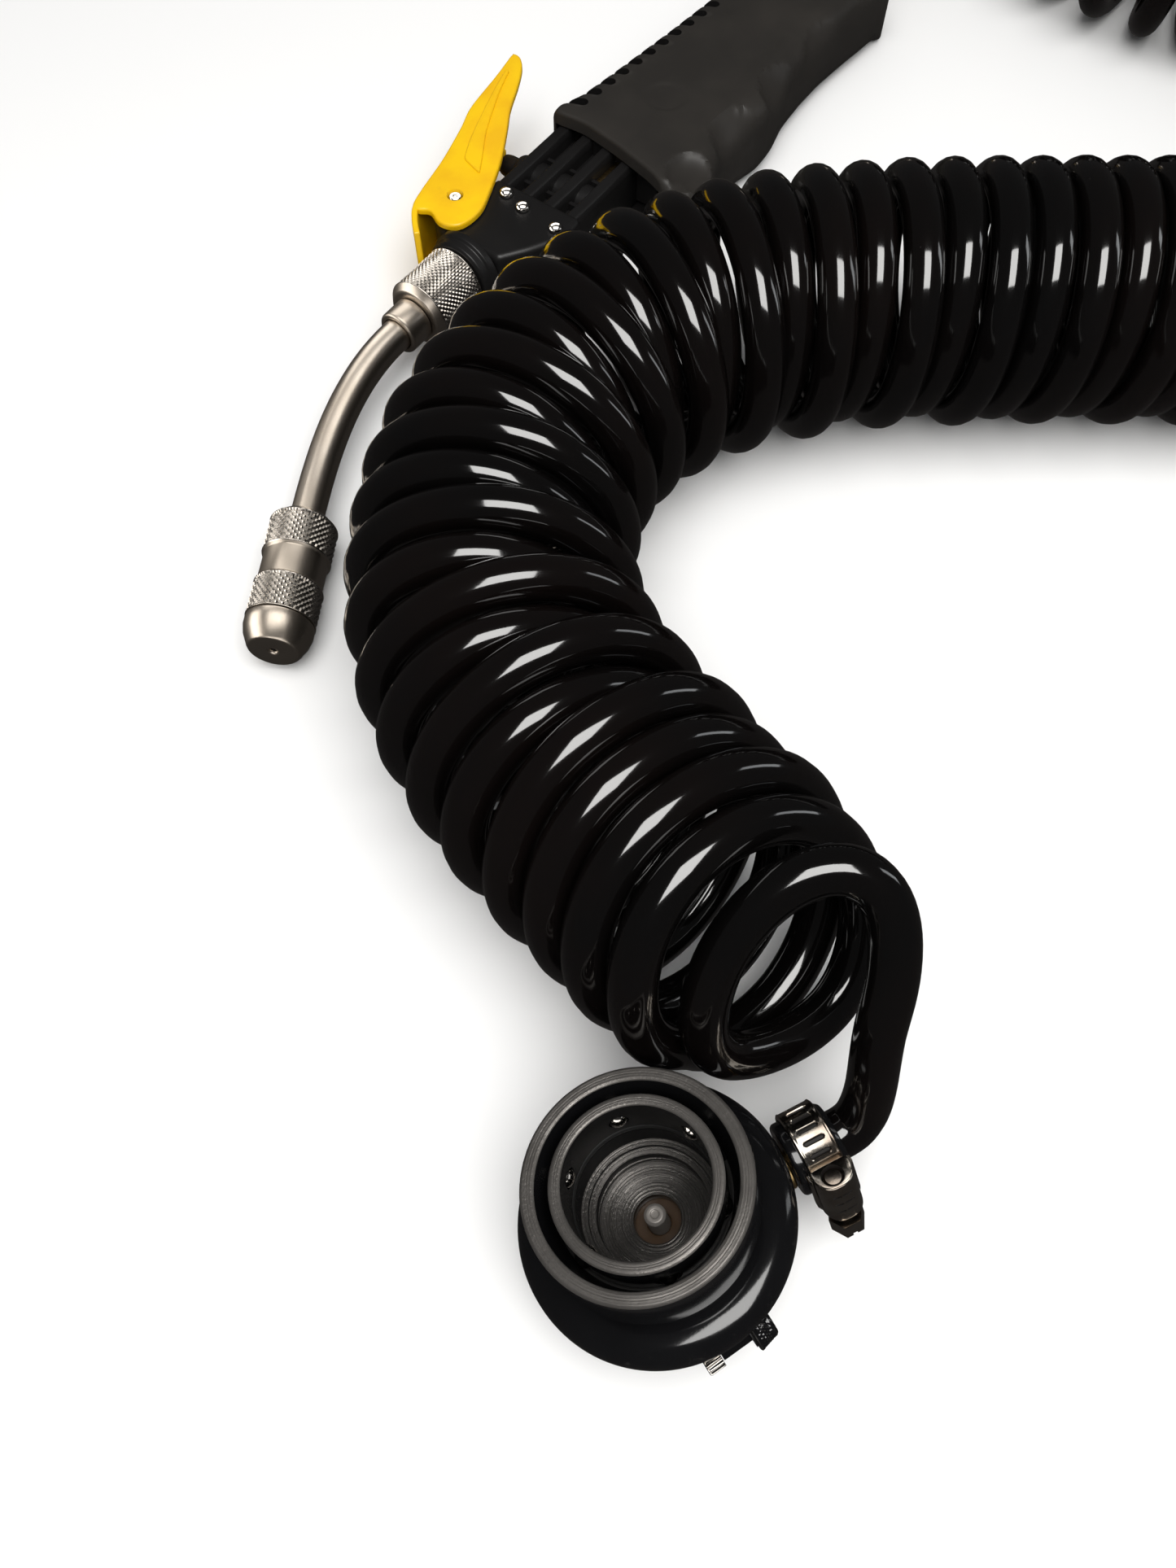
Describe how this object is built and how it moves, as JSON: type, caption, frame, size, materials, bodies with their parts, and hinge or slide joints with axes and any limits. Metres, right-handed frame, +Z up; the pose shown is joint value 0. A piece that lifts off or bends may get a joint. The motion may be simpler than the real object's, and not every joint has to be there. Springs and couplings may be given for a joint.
{
  "type": "coiled air hose",
  "caption": "Black coiled compressed-air hose with a sleeved quick coupler clamped to one end and a lever blow gun with a bent lance on a swivel at the other.",
  "frame": {"origin": "centre of the bounding box's bottom face, on the table the hose lies on", "axes": "+Y the longest side, from the coupler end towards the gun's inlet; +Z up from the table"},
  "size_m": [0.4652, 0.5912, 0.0791],
  "materials": {
    "hose_black": "high gloss",
    "black_anodised": "satin anodised with bare machined rings",
    "stainless": "satin",
    "polished_steel": "polished",
    "black_plastic": "satin",
    "yellow_plastic": "satin gloss",
    "black_rubber": "matte",
    "brown_rubber": "matte",
    "brass": "turned"
  },
  "bodies": {
    "coupler": {"coupler_base": "black_anodised", "coupler_tube": "black_anodised", "sleeve_stop_ring": "stainless", "sleeve_spring": "stainless", "plug_oring": "black_rubber", "valve_spring": "stainless", "bottom_plug": "black_anodised", "coupler_barb": "brass", "hose_cuff_coupler": "black_rubber", "clamp_band_coupler": "stainless", "clamp_housing_coupler": "stainless", "bleed_seal": "black_rubber", "coil_hose": "hose_black"},
    "sleeve": {"coupler_sleeve": "black_anodised"},
    "valve": {"valve_pin": "stainless", "valve_seal": "brown_rubber"},
    "bleed_screw": {"bleed_knob": "black_anodised", "bleed_tip": "stainless"},
    "clamp_screw_coupler": {"clamp_screw_coupler": "stainless"},
    "hose_end": {"swivel_barb": "brass", "hose_cuff_gun": "black_rubber", "clamp_band_gun": "stainless", "clamp_housing_gun": "stainless"},
    "clamp_screw_gun": {"clamp_screw_gun": "stainless"},
    "gun": {"gun_core": "black_plastic", "grip_shell": "black_plastic", "air_tube": "brass", "inlet_fitting": "stainless", "lever_pin": "stainless", "plunger_spring": "stainless", "lance_oring": "black_rubber", "lance_collar": "stainless", "lance_tube": "stainless", "nozzle_tip": "stainless", "nozzle_oring": "black_rubber", "body_screw_1": "stainless", "body_screw_2": "stainless", "body_screw_3": "stainless"},
    "lever": {"lever": "yellow_plastic"},
    "plunger": {"plunger": "black_plastic"},
    "lance_nut": {"lance_nut": "stainless"},
    "nozzle_sleeve": {"nozzle_sleeve": "stainless"},
    "ball_1": {"locking_ball_1": "polished_steel"},
    "ball_2": {"locking_ball_2": "polished_steel"},
    "ball_3": {"locking_ball_3": "polished_steel"},
    "ball_4": {"locking_ball_4": "polished_steel"},
    "ball_5": {"locking_ball_5": "polished_steel"},
    "ball_6": {"locking_ball_6": "polished_steel"}
  },
  "joints": [
    {"name": "coil_stretch", "type": "slide", "parent": "coupler", "child": "hose_end", "axis": [0, 1, 0], "range_m": [0, 0.6], "stiffness_N_per_m": 20, "deforming": ["coil_hose"]},
    {"name": "gun_swivel", "type": "hinge", "parent": "hose_end", "child": "gun", "pos_m": [-0.02085, 0.22145, 0.018], "axis": [0.5807, 0.8141, 0], "continuous": true},
    {"name": "lever_press", "type": "hinge", "parent": "gun", "child": "lever", "pos_m": [-0.17545, 0.06997, 0.018], "axis": [0, 0, 1], "range_deg": [-10, 0]},
    {"name": "plunger_push", "type": "slide", "parent": "gun", "child": "plunger", "axis": [-0.8141, 0.5807, 0], "range_m": [-0.0066, 0], "deforming": ["plunger_spring"]},
    {"name": "lance_nut_turn", "type": "hinge", "parent": "gun", "child": "lance_nut", "pos_m": [-0.18219, 0.03314, 0.018], "axis": [-0.5807, -0.8141, 0], "continuous": true},
    {"name": "nozzle_turn", "type": "hinge", "parent": "gun", "child": "nozzle_sleeve", "pos_m": [-0.2182, -0.0557, 0.0113], "axis": [-0.0997, -0.995, 0], "continuous": true},
    {"name": "sleeve_slide", "type": "slide", "parent": "coupler", "child": "sleeve", "axis": [0.2102, -0.1802, -0.9609], "range_m": [0, 0.0048], "deforming": ["sleeve_spring"]},
    {"name": "ball_1_lift", "type": "slide", "parent": "coupler", "child": "ball_1", "axis": [0.67, 0.7423, 0.0074], "range_m": [0, 0.0012]},
    {"name": "ball_2_lift", "type": "slide", "parent": "coupler", "child": "ball_2", "axis": [-0.2816, 0.9301, -0.236], "range_m": [0, 0.0012]},
    {"name": "ball_3_lift", "type": "slide", "parent": "coupler", "child": "ball_3", "axis": [-0.9516, 0.1877, -0.2434], "range_m": [0, 0.0012]},
    {"name": "ball_4_lift", "type": "slide", "parent": "coupler", "child": "ball_4", "axis": [-0.67, -0.7423, -0.0074], "range_m": [0, 0.0012]},
    {"name": "ball_5_lift", "type": "slide", "parent": "coupler", "child": "ball_5", "axis": [0.2816, -0.9301, 0.236], "range_m": [0, 0.0012]},
    {"name": "ball_6_lift", "type": "slide", "parent": "coupler", "child": "ball_6", "axis": [0.9516, -0.1877, 0.2434], "range_m": [0, 0.0012]},
    {"name": "valve_push", "type": "slide", "parent": "coupler", "child": "valve", "axis": [0.2102, -0.1802, -0.9609], "range_m": [0, 0.0025], "deforming": ["valve_spring"]},
    {"name": "bleed_screw_turn", "type": "hinge", "parent": "coupler", "child": "bleed_screw", "pos_m": [-0.09711, -0.28912, 0.02333], "axis": [-0.8403, -0.5357, -0.0834], "continuous": true},
    {"name": "clamp_screw_coupler_turn", "type": "hinge", "parent": "coupler", "child": "clamp_screw_coupler", "pos_m": [-0.07177, -0.2578, 0.02533], "axis": [0.3118, -0.42, -0.8523], "continuous": true},
    {"name": "clamp_screw_gun_turn", "type": "hinge", "parent": "hose_end", "child": "clamp_screw_gun", "pos_m": [-0.0043, 0.24466, 0.0314], "axis": [-0.8141, 0.5807, 0], "continuous": true}
  ],
  "couplings": [
    {"joint": "plunger_push", "follows": "lever_press", "m_per_rad": 0.0365},
    {"joint": "ball_1_lift", "follows": "sleeve_slide", "ratio": 0.25},
    {"joint": "ball_2_lift", "follows": "sleeve_slide", "ratio": 0.25},
    {"joint": "ball_3_lift", "follows": "sleeve_slide", "ratio": 0.25},
    {"joint": "ball_4_lift", "follows": "sleeve_slide", "ratio": 0.25},
    {"joint": "ball_5_lift", "follows": "sleeve_slide", "ratio": 0.25},
    {"joint": "ball_6_lift", "follows": "sleeve_slide", "ratio": 0.25}
  ]
}
